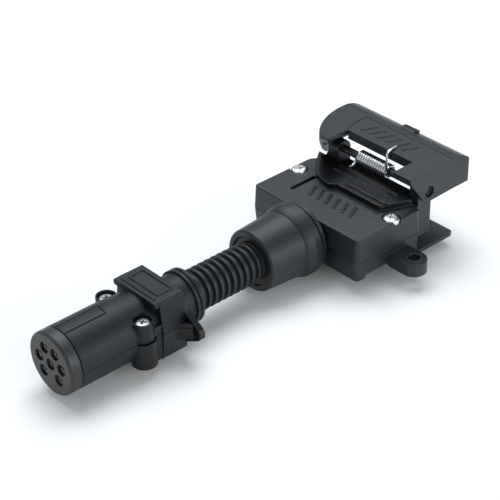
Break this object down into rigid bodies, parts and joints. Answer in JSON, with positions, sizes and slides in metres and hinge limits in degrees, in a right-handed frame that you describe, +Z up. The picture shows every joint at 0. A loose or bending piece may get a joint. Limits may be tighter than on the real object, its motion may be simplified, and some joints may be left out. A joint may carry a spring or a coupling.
{
  "type": "trailer wiring adaptor",
  "caption": "Trailer wiring adaptor: a small round plug, a ribbed rubber boot and a flat socket with mounting ears and a sprung lid, shown open.",
  "frame": {"origin": "on the surface that it lies on, below the middle of its length and width, at rest with the lid open", "axes": "+X along the cable axis from the round plug to the flat socket, +Z up, +Y towards the rounded corner of the lid"},
  "size_m": [0.1648, 0.076, 0.0366],
  "materials": {
    "case_plastic": "satin black moulded nylon with a fine grain",
    "insulator_plastic": "black moulded insulator, a little smoother than the case",
    "rubber": "black moulded rubber, satin",
    "soft_rubber": "soft dark grey sealing rubber",
    "brass": "turned brass contact",
    "brass_screw": "brass terminal screw",
    "zinc_steel": "bright zinc-plated steel",
    "pin_steel": "plain steel pin",
    "spring_steel": "bright spring wire",
    "sheath_pvc": "black cable sheath",
    "wire_white": "white wire insulation",
    "wire_yellow": "yellow wire insulation",
    "wire_black": "black wire insulation",
    "wire_green": "green wire insulation",
    "wire_blue": "blue wire insulation",
    "wire_red": "red wire insulation",
    "wire_brown": "brown wire insulation"
  },
  "bodies": {
    "socket": {"socket_body": "case_plastic", "socket_cover": "case_plastic", "socket_cover_screws": "zinc_steel", "socket_contact_carrier": "insulator_plastic", "socket_contacts": "brass", "socket_terminal_screws": "brass_screw", "boot_collar": "rubber", "cable_grommet": "soft_rubber", "hinge_pin": "pin_steel", "lid_spring": "spring_steel"},
    "lid": {"lid": "case_plastic", "lid_seal": "soft_rubber"},
    "cable": {"boot": "rubber", "cable_sheath": "sheath_pvc", "wire_white": "wire_white", "wire_yellow": "wire_yellow", "wire_black": "wire_black", "wire_green": "wire_green", "wire_blue": "wire_blue", "wire_red": "wire_red", "wire_brown": "wire_brown"},
    "plug": {"plug_contact_carrier": "insulator_plastic", "plug_contact_sleeves": "brass", "plug_terminal_screws": "brass_screw", "plug_upper_shell": "case_plastic", "plug_lower_shell": "case_plastic", "plug_case_screws": "zinc_steel", "plug_case_nuts": "brass_screw", "plug_cable_clamp": "insulator_plastic", "plug_clamp_screws": "zinc_steel"}
  },
  "joints": [
    {"name": "lid_hinge", "type": "hinge", "parent": "socket", "child": "lid", "pos_m": [0.06165, 0, 0.0271], "axis": [0, 1, 0], "range_deg": [-15, 90], "deforming": ["lid_spring"]},
    {"name": "boot_sway", "type": "hinge", "parent": "socket", "child": "cable", "pos_m": [-0.00555, 0, 0.0134], "axis": [0, 0, 1], "range_deg": [-20, 20], "stiffness_Nm_per_rad": 0.6, "deforming": ["boot", "cable_sheath", "wire_white", "wire_yellow", "wire_black", "wire_green", "wire_blue", "wire_red", "wire_brown"]},
    {"name": "boot_nod", "type": "hinge", "parent": "cable", "child": "plug", "pos_m": [-0.01955, 0, 0.0134], "axis": [0, 1, 0], "range_deg": [-20, 20], "stiffness_Nm_per_rad": 0.6, "deforming": ["boot", "cable_sheath", "wire_white", "wire_yellow", "wire_black", "wire_green", "wire_blue", "wire_red", "wire_brown"]}
  ]
}
